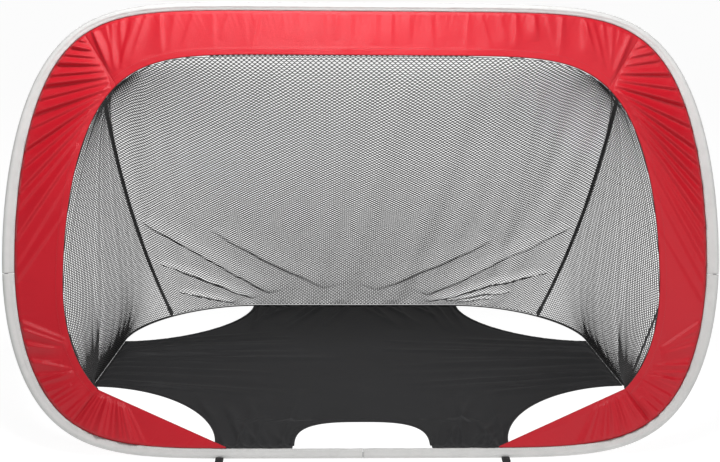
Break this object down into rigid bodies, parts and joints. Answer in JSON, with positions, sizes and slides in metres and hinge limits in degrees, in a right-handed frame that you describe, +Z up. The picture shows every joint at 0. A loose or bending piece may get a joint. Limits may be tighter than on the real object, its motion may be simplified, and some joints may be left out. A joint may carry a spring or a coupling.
{
  "type": "pop-up goal net",
  "caption": "Pop-up goal net: sprung hoop in a cloth sleeve with a sewn band round its mouth, mesh net bag, swinging struts and a scalloped floor sheet.",
  "frame": {"origin": "on the ground, in the middle of the whole footprint", "axes": "+X to the right seen from the front, +Y back into the net, +Z up"},
  "size_m": [1.1992, 0.7948, 0.7362],
  "materials": {
    "sleeve_cloth": "plain woven polyester, matte",
    "band_cloth": "plain woven polyester with a soft sheen",
    "net_mesh": "knitted polyester mesh",
    "floor_cloth": "woven polyester, semi-matte",
    "black_webbing": "woven tape",
    "strut_sleeve": "woven polyester",
    "glassfibre_rod": "pultruded glassfibre, satin",
    "moulded_cap": "moulded, matte",
    "spring_steel": "drawn wire"
  },
  "bodies": {
    "goal": {"hoop_spring": "spring_steel", "hoop_ferrule": "spring_steel", "sleeve_top": "sleeve_cloth", "sleeve_lower_left": "sleeve_cloth", "sleeve_lower_right": "sleeve_cloth", "band_top": "band_cloth", "band_left": "band_cloth", "band_right": "band_cloth", "band_lower_left": "band_cloth", "band_lower_right": "band_cloth", "mouth_tape": "black_webbing", "net_back": "net_mesh", "net_left": "net_mesh", "net_right": "net_mesh", "net_foot_tape": "black_webbing", "floor_sheet": "floor_cloth", "floor_binding_front": "black_webbing", "floor_binding_left": "black_webbing", "floor_binding_right": "black_webbing", "peg_loop_left": "black_webbing", "peg_loop_right": "black_webbing", "rear_pocket_left": "black_webbing", "rear_pocket_right": "black_webbing", "side_pocket_left": "black_webbing", "side_pocket_right": "black_webbing"},
    "rear_strut_left": {"rear_rod_left": "glassfibre_rod", "rear_sleeve_left": "strut_sleeve", "rear_top_cap_left": "moulded_cap", "rear_foot_cap_left": "moulded_cap", "rear_foot_sock_left": "black_webbing"},
    "side_strut_left": {"side_rod_left": "glassfibre_rod", "side_top_cap_left": "moulded_cap", "side_foot_cap_left": "moulded_cap", "side_foot_sock_left": "black_webbing"},
    "rear_strut_right": {"rear_rod_right": "glassfibre_rod", "rear_sleeve_right": "strut_sleeve", "rear_top_cap_right": "moulded_cap", "rear_foot_cap_right": "moulded_cap", "rear_foot_sock_right": "black_webbing"},
    "side_strut_right": {"side_rod_right": "glassfibre_rod", "side_top_cap_right": "moulded_cap", "side_foot_cap_right": "moulded_cap", "side_foot_sock_right": "black_webbing"}
  },
  "joints": [
    {"name": "rear_strut_left_fold", "type": "hinge", "parent": "goal", "child": "rear_strut_left", "pos_m": [-0.44947, -0.18812, 0.67493], "axis": [-1, 0, 0], "range_deg": [0, 44], "deforming": ["net_back", "net_left", "net_right", "net_foot_tape", "floor_sheet", "floor_binding_front", "floor_binding_left", "floor_binding_right"]},
    {"name": "side_strut_left_fold", "type": "hinge", "parent": "goal", "child": "side_strut_left", "pos_m": [-0.56847, -0.26286, 0.39986], "axis": [-1, 0, 0], "range_deg": [0, 38]},
    {"name": "rear_strut_right_fold", "type": "hinge", "parent": "goal", "child": "rear_strut_right", "pos_m": [0.44947, -0.18812, 0.67493], "axis": [-1, 0, 0], "range_deg": [0, 44]},
    {"name": "side_strut_right_fold", "type": "hinge", "parent": "goal", "child": "side_strut_right", "pos_m": [0.56847, -0.26286, 0.39986], "axis": [-1, 0, 0], "range_deg": [0, 38]}
  ],
  "couplings": [
    {"joint": "side_strut_left_fold", "follows": "rear_strut_left_fold", "ratio": 0.86364},
    {"joint": "rear_strut_right_fold", "follows": "rear_strut_left_fold", "ratio": 1},
    {"joint": "side_strut_right_fold", "follows": "rear_strut_left_fold", "ratio": 0.86364}
  ]
}
